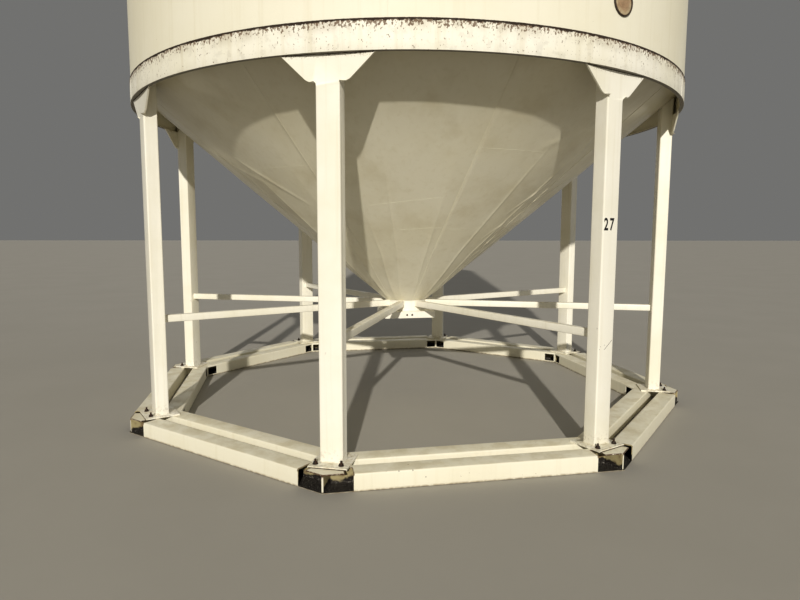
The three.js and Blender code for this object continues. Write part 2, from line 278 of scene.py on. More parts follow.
# The rails lie in the dirt: dust on their tops, a little mud along their feet, and a thin burnt edge round
# the torch-cut corners. along and out are measured from the middle of each side of the octagon.
def skidMarks(tree, cloud, axes, upward):
    radius = fromAxis(tree, axes)
    ahead = add(tree, "ShaderNodeMath", {0: axes["Y"], 1: -1.0}, operation="MULTIPLY")
    azimuth = add(tree, "ShaderNodeMath", {0: axes["X"], 1: ahead}, operation="ARCTAN2")
    away = add(tree, "ShaderNodeMath", {0: azimuth, 1: math.radians(22.5)}, operation="PINGPONG")
    shares = [add(tree, "ShaderNodeMath", {0: away}, operation=name) for name in ("SINE", "COSINE")]
    along, out = [add(tree, "ShaderNodeMath", {0: radius, 1: s}, operation="MULTIPLY") for s in shares]
    # What each mask is measured along, where it starts and where it is full
    limits = {
        "ends": (along, cut["start"] - 0.007, cut["start"] - 0.002),
        "before": (along, cut["slotEnd"] + 0.007, cut["slotEnd"] + 0.002),
        "slot": (out, cut["back"] - 0.005, cut["back"]),
        "front": (out, cut["face"] - 0.007, cut["face"] - 0.003),
        "top": (axes["Z"], 0.085, 0.092),
    }
    past = {}
    for name, (value, start, full) in limits.items():
        past[name] = add(tree, "ShaderNodeMapRange", {"Value": value, "From Min": start, "From Max": full})
    across = add(tree, "ShaderNodeMath", {0: past["ends"], 1: past["before"]}, operation="MULTIPLY")
    slotEdge = add(tree, "ShaderNodeMath", {0: across, 1: past["slot"]}, operation="MULTIPLY")
    corner = add(tree, "ShaderNodeMath", {0: past["ends"], 1: past["front"]}, operation="MULTIPLY")
    edges = add(tree, "ShaderNodeMath", {0: slotEdge, 1: corner}, operation="MAXIMUM")
    ragged = cloud(0.01, (0.3, 0.5), detail=5.0, shift=34)
    upper = add(tree, "ShaderNodeMath", {0: ragged, 1: past["top"]}, operation="MULTIPLY")
    burnt = add(tree, "ShaderNodeMath", {0: edges, 1: upper}, operation="MULTIPLY")
    dust = cloud(0.12, (0.35, 0.7), upward, (0.6, 0.9), 0.5, shift=31)
    mud = cloud(0.03, (0.3, 0.6), axes["Z"], (0.018, 0.002), 0.8, shift=32)
    chips = cloud(0.02, (0.71, 0.74), detail=6.0, shift=33)
    return [(dust, "dust", matt), (mud, "mud", matt), (chips, "rust", matt), (burnt, "burnt", matt)]


def plainMarks(tree, cloud, axes, upward):
    dust = cloud(0.08, (0.4, 0.7), upward, (0.6, 0.9), 0.5, shift=41)
    chips = cloud(0.015, (0.70, 0.74), strength=0.8, detail=6.0, shift=42)
    return [(dust, "dust", 0.7), (chips, "rust", matt)]


# Dust lies thin on the roof, and the rain has washed it into pale runs.
def roofMarks(tree, cloud, axes, upward):
    dust = cloud(0.5, (0.4, 0.8), upward, (0.6, 0.9), 0.35, shift=44)
    spots = cloud(0.012, (0.74, 0.79), strength=0.5, shift=45)
    return [(dust, "dust", 0.6), (spots, "lichen", 0.8)]


wallEnamel = creamEnamel("wall", "cream", "yellowed", 0.60, wallMarks)
bandEnamel = creamEnamel("band", "bright", "cream", 0.58, bandMarks)
hopperEnamel = creamEnamel("hopper", "cream", "yellowed", 0.27, hopperMarks)
roofEnamel = creamEnamel("roof", "cream", "yellowed", 0.4, roofMarks)
postEnamel = creamEnamel("post", "bright", "cream", 0.36, postMarks)
strutEnamel = creamEnamel("strut", "bright", "cream", 0.36, plainMarks)
neckEnamel = creamEnamel("neck", "bright", "cream", 0.36, plainMarks)
skidEnamel = creamEnamel("skid", "cream", "yellowed", 0.42, skidMarks)


# Mild steel inside the rails: overspray gone olive towards the top, rust in clouds, near black below a
# wavering line in the lower half, and dry grey grit on the bottom.
def rustedSteel(name):
    material, tree, place, cloud = startMaterial(name)
    high = add(tree, "ShaderNodeSeparateXYZ", {"Vector": place}).outputs["Z"]
    clouds = cloud(0.04, (0.45, 0.7), strength=0.7, detail=6.0, shift=51)
    wander = cloud(0.09, (0.2, 0.8), strength=0.05, shift=52)
    level = add(tree, "ShaderNodeMath", {0: high, 1: wander}, operation="ADD")
    darkLowerPart = add(tree, "ShaderNodeMapRange", {"Value": level, "From Min": 0.068, "From Max": 0.056})
    grit = cloud(0.006, (0.56, 0.62), high, (0.03, 0.008), detail=3.0, shift=53)
    marks = {"#5F4026": clouds, "#1F1914": darkLowerPart, "#8E8A80": grit}
    layers = [(mask, linear(code), None) for code, mask in marks.items()]
    finishMaterial(tree, linear("#A99D76"), 0.85, layers, clouds, 0.001)
    return material


# Hot-dip galvanised steel: grey zinc spangles of about 12 mm with different tones, dulled by white bloom.
def galvanisedSteel(name):
    material, tree, place, cloud = startMaterial(name)
    spangle = add(tree, "ShaderNodeTexVoronoi", {"Vector": place, "Scale": 1 / 0.012})
    tone = add(tree, "ShaderNodeSeparateColor", {"Color": spangle.outputs["Color"]})
    bloom = cloud(0.08, (0.5, 0.8), strength=0.6, shift=61)
    layers = [(tone, linear("#A4A9AB"), 0.42), (bloom, linear("#C9CBC8"), 0.7)]
    finishMaterial(tree, linear("#8E9395"), 0.34, layers, tone, 0.00004, metallic=0.9)
    return material


# Clear acrylic with grain dust baked on behind it: tan and mottled, paler towards the rim, glossy in front.
def dustyAcrylic(name):
    material, tree, place, cloud = startMaterial(name)
    middle = around(sight["azimuth"], size["wallRadius"], sight["z"])
    off = add(tree, "ShaderNodeVectorMath", {0: place, 1: middle}, operation="DISTANCE").outputs["Value"]
    caked = cloud(0.03, (0.35, 0.65), detail=6.0, shift=91)
    rim = cloud(0.02, (0.25, 0.6), off, (0.035, 0.066), shift=94)
    fine = cloud(0.006, (0.4, 0.7), strength=0.4, shift=92)
    marks = {"#94785A": caked, "#C2B290": rim, "#B9A384": fine}
    layers = [(mask, linear(code), None) for code, mask in marks.items()]
    finishMaterial(tree, linear("#A98B6B"), 0.3, layers, fine, 0.0001)
    return material


# A material of one base with one kind of patch on it, which also stands up by the depth.
def patched(name, base, gloss, patch, top, dull, depth, metallic=0.0):
    material, tree, _, cloud = startMaterial(name)
    mask = cloud(**patch)
    finishMaterial(tree, linear(base), gloss, [(mask, linear(top), dull)], mask, depth, metallic)
    return material


rust = rustedSteel("rustedMildSteel")
zinc = galvanisedSteel("galvanisedSteel")
acrylic = dustyAcrylic("dustyAcrylic")
# Zinc-plated bolts gone dark in the weather, brown where the plating has left.
bare = {"span": 0.012, "edge": (0.4, 0.6), "detail": 5.0, "shift": 71}
boltSteel = patched("weatheredBoltSteel", "#34312E", 0.5, bare, "#4A3424", 0.8, 0.0002, 0.5)
# Weathered rubber: brown-black, chalky and matt.
chalk = {"span": 0.01, "edge": (0.45, 0.7), "strength": 0.6, "detail": 5.0, "shift": 81}
rubber = patched("weatheredRubber", "#3A2E25", 0.7, chalk, "#6B5A48", 0.9, 0.0003)
# Stencil paint: flat black, thin at the edges.
thin = {"span": 0.008, "edge": (0.55, 0.75), "strength": 0.5, "shift": 95}
stencil = patched("stencilPaint", "#15161A", 0.6, thin, "#4A4A48", None, 0.00005)
# Soil packed into a joint: nearly black, dry and crumbly. Along the gussets' tops and the foot plates' edges
# it is also painted shade.
crumbly = {"span": 0.006, "edge": (0.35, 0.65), "detail": 5.0, "shift": 97}
soilAndShade = patched("packedSoil", "#2C241C", 0.95, crumbly, "#5A4B3A", None, 0.001)
print("stage: materials made")


# Making pieces

def link(thing):
    scene.collection.objects.link(thing)


def newPiece(name, mesh, material, nodes=(), smoothAngle=35):
    if not mesh.materials:
        mesh.materials.append(material)
    mesh.shade_smooth()
    mesh.set_sharp_from_angle(angle=math.radians(smoothAngle))
    piece = bpy.data.objects.new(name, mesh)
    link(piece)
    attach(piece, "root")
    if nodes:
        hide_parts(*nodes)


def meshFrom(shape, name):
    mesh = bpy.data.meshes.new(name)
    shape.to_mesh(mesh)
    shape.free()
    return mesh


def nodesNamed(start):
    return [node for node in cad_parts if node.startswith(start)]


def camel(node):
    first, *rest = node.split("_")
    return first + "".join(word.capitalize() for word in rest)


# A CAD node's own shape with its loose triangles joined, so that round faces can be smooth.
def joinedCopy(node):
    shape = bmesh.new()
    shape.from_mesh(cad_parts[node].data)
    bmesh.ops.remove_doubles(shape, verts=shape.verts, dist=2e-5)
    bmesh.ops.dissolve_limit(shape, angle_limit=math.radians(0.2), verts=shape.verts, edges=shape.edges)
    return shape


# Pieces that keep the shapes of their CAD nodes
def dress(nodes, material, smoothAngle=30):
    for node in nodes:
        newPiece(camel(node), meshFrom(joinedCopy(node), camel(node)), material, [node], smoothAngle)


# Numbers at even steps, both ends among them
def between(start, end, steps):
    return [start + (end - start) * k / steps for k in range(steps + 1)]


# A closed shell through rings of points, one ring for each column round the axis.
def shellOf(columns):
    shape = bmesh.new()
    rings = [[shape.verts.new(point) for point in column] for column in columns]
    for place, here in enumerate(rings):
        there = rings[(place + 1) % len(rings)]
        for i in range(len(here)):
            j = (i + 1) % len(here)
            shape.faces.new((here[i], there[i], there[j], here[j]))
    bmesh.ops.remove_doubles(shape, verts=shape.verts, dist=1e-6)
    bmesh.ops.recalc_face_normals(shape, faces=shape.faces)
    return shape


# An outline of (radius, height) turned about the bin's axis. shift moves a point outwards, for dents.
def turned(outline, count, shift=None):
    columns = []
    for column in range(count):
        azimuth = 360 * column / count
        columns.append([around(azimuth, r + (shift(azimuth, r, z) if shift else 0), z) for r, z in outline])
    return shellOf(columns)


# A rectangle with its corners cut, as eight points
def chamfered(left, right, near, far, corner):
    return [
        (left + corner, near),
        (right - corner, near),
        (right, near + corner),
        (right, far - corner),
        (right - corner, far),
        (left + corner, far),
        (left, far - corner),
        (left, near + corner),
    ]


# Geometry Nodes

def startTree(name, inputs):
    tree = bpy.data.node_groups.new(name, "GeometryNodeTree")
    tree.interface.new_socket("Geometry", in_out="INPUT", socket_type="NodeSocketGeometry")
    for label, kind, value in inputs:
        socket = tree.interface.new_socket(label, in_out="INPUT", socket_type="NodeSocket" + kind)
        if value is not None:
            socket.default_value = value
    tree.interface.new_socket("Geometry", in_out="OUTPUT", socket_type="NodeSocketGeometry")
    return tree, add(tree, "NodeGroupInput").outputs


def endTree(tree, geometry, material):
    real = add(tree, "GeometryNodeRealizeInstances", {0: geometry})
    dressed = add(tree, "GeometryNodeSetMaterial", {"Geometry": real, "Material": material})
    add(tree, "NodeGroupOutput", {0: dressed})
    return tree


# The plain mesh that an object shows. The object itself goes.
def settled(holder, name):
    link(holder)
    depsgraph = bpy.context.evaluated_depsgraph_get()
    made = bpy.data.meshes.new_from_object(holder.evaluated_get(depsgraph))
    bpy.data.objects.remove(holder)
    made.name = name
    return made


# Runs a tree on a mesh and makes a piece of the plain mesh that comes out.
def grownPiece(name, mesh, tree, values, material):
    holder = bpy.data.objects.new(name + "Start", mesh)
    modifier = holder.modifiers.new("grow", "NODES")
    modifier.node_group = tree
    values = {**values, "Seed": len(name), "Material": material}
    for item in tree.interface.items_tree:
        if item.in_out == "INPUT" and item.name in values:
            modifier[item.identifier] = values[item.name]
    newPiece(name, settled(holder, name), material)


# A weld: a round bead along each path of edges, uneven from pass to pass.
def weldTree():
    inputs = [
        ("Bead Width", "Float", 0.008),
        ("Step", "Float", 0.02),
        ("Unevenness", "Float", 0.001),
        ("Seed", "Int", 3),
        ("Material", "Material", None),
    ]
    tree, given = startTree("weldBead", inputs)
    path = add(tree, "GeometryNodeMeshToCurve", {0: given["Geometry"]})
    even = add(tree, "GeometryNodeResampleCurve", {"Curve": path, "Length": given["Step"]}, mode="LENGTH")
    half = add(tree, "ShaderNodeMath", {0: given["Bead Width"], 1: 0.5}, operation="MULTIPLY")
    ring = add(tree, "GeometryNodeCurvePrimitiveCircle", {"Resolution": 8, "Radius": half})
    sweep = {"Curve": even, "Profile Curve": ring, "Fill Caps": True}
    bead = add(tree, "GeometryNodeCurveToMesh", sweep)
    wander = {"Scale": 90.0, "W": given["Seed"]}
    ripple = add(tree, "ShaderNodeTexNoise", wander, noise_dimensions="4D")
    centred = add(tree, "ShaderNodeMath", {0: ripple, 1: 0.5}, operation="SUBTRACT")
    amount = add(tree, "ShaderNodeMath", {0: centred, 1: given["Unevenness"]}, operation="MULTIPLY")
    normal = add(tree, "GeometryNodeInputNormal")
    offset = add(tree, "ShaderNodeVectorMath", {0: normal, "Scale": amount}, operation="SCALE")
    moved = add(tree, "GeometryNodeSetPosition", {"Geometry": bead, "Offset": offset})
    smooth = add(tree, "GeometryNodeSetShadeSmooth", {0: moved})
    return endTree(tree, smooth, given["Material"])


nutSizes = ["Nut Radius", "Nut Height", "Washer Radius", "Washer Height", "Stud Radius", "Stud Height"]


# A hex nut on its washer and stud at each point, standing along the point's axis and turned at random.
def nutTree():
    usual = zip(nutSizes, (0.015, 0.014, 0.018, 0.003, 0.008, 0.030))
    inputs = [(label, "Float", value) for label, value in usual]
    inputs += [("Seed", "Int", 7), ("Material", "Material", None)]
    tree, given = startTree("hexNut", inputs)
    parts = add(tree, "GeometryNodeJoinGeometry")

    # One turned part standing on a base height, as a cone or a straight drum
    def drum(sides, bottom, top, height, base):
        sizes = {"Vertices": sides, "Radius Bottom": bottom, "Radius Top": top, "Depth": height}
        part = add(tree, "GeometryNodeMeshCone", sizes)
        lift = add(tree, "ShaderNodeCombineXYZ", {"Z": base})
        placed = add(tree, "GeometryNodeTransform", {"Geometry": part, "Translation": lift})
        tree.links.new(placed.outputs[0], parts.inputs[0])

    shares = [("Nut Height", 0.8), ("Nut Height", 0.2), ("Nut Radius", 0.86), ("Stud Radius", 0.8)]
    straight, bevel, narrow, tip = [
        add(tree, "ShaderNodeMath", {0: given[label], 1: share}, operation="MULTIPLY")
        for label, share in shares
    ]
    shoulder = add(tree, "ShaderNodeMath", {0: straight, 1: given["Washer Height"]}, operation="ADD")
    drum(20, given["Washer Radius"], given["Washer Radius"], given["Washer Height"], 0.0)
    drum(6, given["Nut Radius"], given["Nut Radius"], straight, given["Washer Height"])
    drum(6, given["Nut Radius"], narrow, bevel, shoulder)
    drum(12, given["Stud Radius"], tip, given["Stud Height"], 0.0)
    axis = add(tree, "GeometryNodeInputNamedAttribute", {"Name": "axis"}, data_type="FLOAT_VECTOR")
    stand = add(tree, "FunctionNodeAlignRotationToVector", {"Vector": axis}, axis="Z")
    fullTurn = {"Max": 6.28, "Seed": given["Seed"]}
    chance = add(tree, "FunctionNodeRandomValue", fullTurn, data_type="FLOAT")
    angle = [o for o in chance.outputs if o.enabled][0]
    spin = add(tree, "FunctionNodeAxisAngleToRotation", {"Axis": (0, 0, 1), "Angle": angle})
    turn = add(tree, "FunctionNodeRotateRotation", {0: stand, 1: spin}, rotation_space="LOCAL")
    points = add(tree, "GeometryNodeMeshToPoints", {0: given["Geometry"]})
    placing = {"Points": points, "Instance": parts, "Rotation": turn}
    return endTree(tree, add(tree, "GeometryNodeInstanceOnPoints", placing), given["Material"])


weld = weldTree()
nut = nutTree()


# One mesh of edges from paths, each a list of points and whether it is closed.
def pathMesh(name, paths):
    mesh = bpy.data.meshes.new(name)
    points, edges = [], []
    for path, closed in paths:
        first = len(points)
        points += [tuple(p) for p in path]
        edges += [(first + i, first + i + 1) for i in range(len(path) - 1)]
        if closed:
            edges.append((first + len(path) - 1, first))
    mesh.from_pydata(points, edges, [])
    return mesh


def circle(radius, z, count=240):
    return [around(360 * i / count, radius, z) for i in range(count)], True


def weldPiece(name, paths, material, width=0.008, step=0.02, uneven=0.0012):
    values = {"Bead Width": width, "Step": step, "Unevenness": uneven}
    grownPiece(name, pathMesh(name + "Path", paths), weld, values, material)


# points are (place, axis) pairs, and sizes go with the labels in nutSizes.
def nutPiece(name, points, sizes, material):
    mesh = bpy.data.meshes.new(name + "Points")
    mesh.from_pydata([tuple(p) for p, _ in points], [], [])
    axis = mesh.attributes.new("axis", "FLOAT_VECTOR", "POINT")
    for i, (_, direction) in enumerate(points):
        axis.data[i].vector = direction
    grownPiece(name, mesh, nut, dict(zip(nutSizes, sizes)), material)


print("stage: trees made")


# Bin wall

wall = {
    "columns": 360,
    "rowHeight": 0.085,
    "dent": 0.0016,
    "dentSpan": 0.55,
    "stiff": 0.3,  # the dents fade out this near to either rim
    "seamWidth": 0.010,
    "seamSunk": 0.0042,
    # The azimuths of the upright welds of each course, from the lowest
    "uprights": [(106, 226, 346), (125, 245, 365), (172, 292, 412), (219, 339, 459)],
}


def wallDent(azimuth, radius, z):
    place = around(azimuth, radius, z) / wall["dentSpan"]
    hold = min(1.0, (z - size["wallFoot"]) / wall["stiff"], (size["wallTop"] - z) / wall["stiff"])
    return -wall["dent"] * max(hold, 0) * (0.5 + 0.5 * noise.noise(place))


def makeWall():
    radius, foot, top = size["wallRadius"], size["wallFoot"], size["wallTop"]
    inner = radius - size["wallSheet"]
    outline = [(radius, z) for z in between(foot, top, round((top - foot) / wall["rowHeight"]))]
    outline += [(inner, top), (inner, foot)]
    shape = turned(outline, wall["columns"], lambda a, r, z: wallDent(a, r, z) if r == radius else 0)
    nodes = ["wall_front", "wall_right", "wall_back", "wall_left"]
    newPiece("binWall", meshFrom(shape, "binWall"), wallEnamel, nodes)
    bed = radius - wall["seamSunk"]
    levels = between(foot, top, len(wall["uprights"]))
    paths = [circle(bed, z) for z in levels[1:-1]]
    for low, high, azimuths in zip(levels, levels[1:], wall["uprights"]):
        for azimuth in azimuths:
            paths.append(([around(azimuth, bed, z) for z in between(low, high, 20)], False))
    weldPiece("wallWelds", paths, wallEnamel, wall["seamWidth"], 0.03)


makeWall()
print("stage: wall made")

# Support band

band = {
    "columns": 360,
    "edge": 0.0015,  # how much its edges are rounded
    "quarter": 0.3,  # of the rounding, for the point between its ends
    "plain": 0.05,  # where the flat of its face starts from either edge
    "flange": 0.005,
    "joints": (47, 167, 287),
    "jointEnds": (0.002, 0.152),
    "jointSunk": 0.0025,
    "soilOut": 0.002,
    "soilSunk": 0.001,
}


def makeBand():
    radius, foot, top, edge = size["bandRadius"], size["bandFoot"], size["bandTop"], band["edge"]
    inner, rim = size["wallRadius"] + size["gap"], radius - size["bandFlange"]
    quarter = band["quarter"] * edge
    face = [(edge, 0), (quarter, quarter), (0, edge), (0, band["plain"])]
    outline = [(rim, foot)] + [(radius - back, foot + up) for back, up in face]
    outline += [(radius - back, top - down) for back, down in reversed(face)]
    outline += [(inner, top), (inner, foot + band["flange"]), (rim, foot + band["flange"])]
    mesh = meshFrom(turned(outline, band["columns"]), "supportBand")
    newPiece("supportBand", mesh, bandEnamel, ["support_band"])
    ledge = [circle(inner + band["soilOut"], top - band["soilSunk"], 480)]
    weldPiece("ledgeSoil", ledge, soilAndShade, width=0.006, step=0.008, uneven=0.004)
    joints, bed = [], radius - band["jointSunk"]
    low, high = band["jointEnds"]
    for azimuth in band["joints"]:
        joints.append(([around(azimuth, bed, z) for z in between(foot + low, foot + high, 12)], False))
    weldPiece("bandJointWelds", joints, bandEnamel, width=0.009, step=0.012)


makeBand()
print("stage: band made")

# Hopper

hopper = {
    "rows": 104,
    "columnStep": 1.25,  # degrees, with more columns beside each crease and seam
    "beside": (-1.7, -0.9, -0.4, 0, 0.4, 0.9, 1.7),  # those beside a crease
    "seamGap": 0.04,  # those on either side of a seam
    "fineStep": 0.35,
    "fine": [(-84, -50), (34, 62)],  # where the sharp wrinkles are
    "seams": [6.3, 46, 86, 126, 164, 204, 244, 284, 321.1],
    # Short welds across the cone, as azimuth and height of both ends
    "laps": [
        (6.3, 1.901, 26, 1.903),
        (6.3, 1.401, 26, 1.403),
        (335.5, 1.560, 362, 1.615),
        (345.8, 1.395, 366.3, 1.414),
        (288, 1.820, 321.1, 1.813),
        (46, 1.620, 80, 1.600),
        (128, 1.700, 164, 1.720),
        (206, 1.550, 244, 1.560),
    ],
    # Press lines, as azimuths with how far up the cone each can be seen
    "creases": {
        1.5: 0.50, 26.5: 0.72, 40: 0.80, 55: 0.55, 71: 0.85, 98: 0.60, 114: 0.80, 139: 0.55, 149: 0.75,
        178: 0.85, 192: 0.50, 214: 0.70, 232: 0.85, 257: 0.60, 268: 0.80, 295: 0.58, 314: 0.33,
        332.4: 0.42, 342.7: 0.60,
    },
    "creaseRise": 0.0042,
    "creaseWidth": 0.012,
    "creaseFade": 0.2,  # the share of the cone over which a press line fades out
    "facetReach": 0.80,  # the flats between the press lines fade out this far up the cone
    "pull": 18,  # degrees by which the press lines swing aside at the tip
    "pullReach": 0.25,
    "pullBend": 1.2,
    "stiff": (0.05, 0.08),  # the shares of the cone at its tip and rim where the dents fade out
    # How far up the cone and how deep below a true cone the inner skin lies, clear of every flat
    "innerSkin": [(1.0, 0.017), (0.5, 0.028), (0.25, 0.026), (0.06, 0.015), (0.0, 0.006)],
    "sheetStep": 0.0015,  # from one sheet to the next
    "sheetTurn": 40,  # degrees that a sheet covers
    "wave": 0.0022,  # for each metre from the axis
    "bead": 0.0045,
    "beadSunk": 0.32,
    "lapBead": 0.0030,
    "lapSunk": 0.4,
    "rimWeld": (0.004, 0.008),  # how far in and down from the rim
    # Wrinkles as azimuth and radius of both ends, width and height
    "wrinkles": [
        (34.9, 1.710, 24.2, 1.535, 0.030, 0.007),
        (39.5, 1.654, 43.4, 1.451, 0.018, 0.005),
        (-67.0, 1.510, -50.8, 1.110, 0.013, 0.009),
        (-86.0, 1.730, -66.0, 1.330, 0.012, 0.009),
        (-56.3, 1.941, -38.7, 1.741, 0.045, 0.007),
        (-57.5, 1.883, -51.3, 1.656, 0.028, 0.006),
        (-31.9, 1.877, -12.1, 1.817, 0.050, 0.003),
        (61.6, 1.580, 41.0, 1.060, 0.012, 0.009),
        (42.7, 1.330, 36.0, 1.050, 0.010, 0.007),
        (61.0, 1.180, 42.0, 0.700, 0.012, 0.008),
        (42.5, 1.020, 35.5, 0.820, 0.010, 0.006),
    ],
    "wrinkleTurn": 30,  # degrees past which a wrinkle no longer shows
    # The wrinkles round the back, each drawn at random within these
    "moreWrinkles": {
        "seed": 11, "count": 16, "first": 62, "apart": 15, "sway": 4, "lean": 9, "top": (1.3, 2.0),
        "length": (0.15, 0.4), "width": (0.02, 0.04), "height": 0.006,
    },
}


def apart(a, b):
    return (a - b + 180) % 360 - 180


# The press lines run straight down the cone and swing aside just above its tip.
def swung(line, reach):
    near = max(0, 1 - reach / hopper["pullReach"])
    return line + hopper["pull"] * math.sin(math.radians(line + 3)) * near ** hopper["pullBend"]


def allWrinkles():
    made, more = list(hopper["wrinkles"]), hopper["moreWrinkles"]
    chance = random.Random(more["seed"])
    for i in range(more["count"]):
        azimuth = more["first"] + more["apart"] * i + chance.uniform(-more["sway"], more["sway"])
        high = chance.uniform(*more["top"])
        low = high - chance.uniform(*more["length"])
        end = azimuth + chance.uniform(-more["lean"], more["lean"])
        made.append((azimuth, high, end, low, chance.uniform(*more["width"]), more["height"]))
    return made


def wrinkleRise(azimuth, radius, wrinkles):
    rise = 0
    for startAz, startR, endAz, endR, width, height in wrinkles:
        if abs(apart(azimuth, startAz)) > hopper["wrinkleTurn"]:
            continue
        here = Vector((math.radians(apart(azimuth, startAz)) * radius, radius))
        end = Vector((math.radians(apart(endAz, startAz)) * endR, endR))
        start = Vector((0, startR))
        run = end - start
        along = max(0, min(1, (here - start).dot(run) / run.length_squared))
        off = (here - start - run * along).length
        rise += height * math.exp(-((off / width) ** 2)) * math.sin(math.pi * (0.1 + 0.8 * along))
    return rise


# How far a point of the cone lies off a true cone. line is the azimuth that it has above the swing.
def coneDent(line, reach, wrinkles):
    creases = hopper["creases"]
    radius = size["coneTip"][0] + reach * (size["coneRim"][0] - size["coneTip"][0])
    tipHold, rimHold = hopper["stiff"]
    hold = max(0, min(1.0, reach / tipHold, (1 - reach) / rimHold))
    spots = sorted(creases)
    after = next((c for c in spots if c > line % 360), spots[0] + 360)
    before = max((c for c in spots if c <= line % 360), default=spots[-1] - 360)
    half = math.radians(after - before) / 2
    off = math.radians(line % 360 - (after + before) / 2)
    flat = radius * (math.cos(half) / math.cos(off) - 1) * max(0, 1 - reach / hopper["facetReach"])
    nearest = min(creases, key=lambda c: abs(apart(line, c)))
    across = math.radians(apart(line, nearest)) * radius / hopper["creaseWidth"]
    ridge = math.exp(-(across ** 2)) * hopper["creaseRise"]
    ridge *= max(0, min(1, (creases[nearest] - reach) / hopper["creaseFade"]))
    first = max(hopper["seams"], key=lambda s: -((line - s) % 360))
    step = hopper["sheetStep"] * (1 - ((line - first) % 360) / hopper["sheetTurn"])
    turn = math.radians(line)
    broad = noise.noise(Vector((5 * math.sin(turn), 5 * math.cos(turn), 2.0 * reach)))
    fine = noise.noise(Vector((15 * math.sin(turn), 15 * math.cos(turn), 3 * reach + 7)))
    wave = hopper["wave"] * radius * (broad + 0.3 * fine - 0.6)
    return hold * (flat + ridge + step + wave + wrinkleRise(line, radius, wrinkles))


def conePoint(line, reach, sunk, wrinkles):
    (rimR, rimZ), (tipR, tipZ) = size["coneRim"], size["coneTip"]
    radius = tipR + (rimR - tipR) * reach + coneDent(line, reach, wrinkles) - sunk
    return around(swung(line, reach), radius, tipZ + (rimZ - tipZ) * reach)


def coneLines():
    lines = [i * hopper["columnStep"] for i in range(round(360 / hopper["columnStep"]))]
    for crease in hopper["creases"]:
        lines += [crease + off for off in hopper["beside"]]
    for seam in hopper["seams"]:
        lines += [seam - hopper["seamGap"], seam + hopper["seamGap"]]
    for start, end in hopper["fine"]:
        count = round((end - start) / hopper["fineStep"])
        lines += [start + 0.2 + hopper["fineStep"] * i for i in range(count)]
    return sorted(line % 360 for line in lines)


def makeHopper():
    (rimR, rimZ), (tipR, tipZ) = size["coneRim"], size["coneTip"]
    wrinkles = allWrinkles()
    columns = []
    for line in coneLines():
        column = [conePoint(line, i / hopper["rows"], 0, wrinkles) for i in range(hopper["rows"] + 1)]
        for reach, depth in hopper["innerSkin"]:
            level = (tipR + (rimR - tipR) * reach - depth, tipZ + (rimZ - tipZ) * reach)
            column.append(around(swung(line, reach), *level))
        columns.append(column)
    cone = meshFrom(shellOf(columns), "hopperCone")
    newPiece("hopperCone", cone, hopperEnamel, nodesNamed("hopper_"), 50)

    paths, sunk = [], hopper["bead"] * hopper["beadSunk"]
    for seam in hopper["seams"]:
        paths.append(([conePoint(seam, reach, sunk, wrinkles) for reach in between(0.01, 0.99, 60)], False))
    weldPiece("hopperWelds", paths, hopperEnamel, hopper["bead"], 0.012, 0.0012)
    paths, sunk = [], hopper["lapBead"] * hopper["lapSunk"]
    for start, startZ, end, endZ in hopper["laps"]:
        steps = zip(between(start, end, 40), between(startZ, endZ, 40))
        path = [conePoint(line, (z - tipZ) / (rimZ - tipZ), sunk, wrinkles) for line, z in steps]
        paths.append((path, False))
    weldPiece("hopperLapWelds", paths, hopperEnamel, hopper["lapBead"], 0.012, 0.0008)
    inwards, down = hopper["rimWeld"]
    ring = circle(rimR - inwards, rimZ - down)
    weldPiece("hopperRimWeld", [ring], hopperEnamel, width=0.010, step=0.03)


makeHopper()
print("stage: hopper made")

# Posts

post = {
    "corner": 0.007,
    "nutReach": 2.152,
    "nutAside": (-0.080, 0.067),
    "nut": (0.0125, 0.011, 0.0155, 0.0025, 0.007, 0.028),
    "plateHalf": 0.108,
    "gussetCorner": 0.022,
    "gussetWeld": 0.1,  # how far up the shaft's edges the gusset is welded
    "gussetTop": (0.247, 2.2775),  # half the width and the height of the soil line along its top, partly painted shade under the band
    # Scratches on the face of the front right post, as x and height of both ends
    "scratches": [
        (-0.016, 0.688, 0.054, 0.741),
        (-0.058, 0.692, -0.056, 0.695),
        (-0.049, 0.709, -0.046, 0.711),
        (-0.017, 0.715, -0.012, 0.717),
    ],
}


# The short level edges at the outer ends of a gusset's foot, which the shears left rounded.
def isGussetCorner(edge):
    near = 0.0005
    corner = math.hypot(size["postFace"] - size["gussetSheet"], size["gussetFootHalf"])
    ends = [v.co for v in edge.verts]
    low = all(abs(p.z - size["gussetFoot"]) < near for p in ends)
    far = all(p.xy.length > corner - size["gap"] for p in ends)
    return low and far and (ends[0] - ends[1]).length < size["gussetSheet"] + near


def makePosts():
    for node in nodesNamed("post_"):
        shape = joinedCopy(node)
        corners = [edge for edge in shape.edges if isGussetCorner(edge)]
        cutting = {"offset": post["gussetCorner"], "segments": 4, "profile": 0.5, "affect": "EDGES"}
        bmesh.ops.bevel(shape, geom=corners, **cutting)
        newPiece(camel(node), meshFrom(shape, camel(node)), postEnamel, [node], 30)


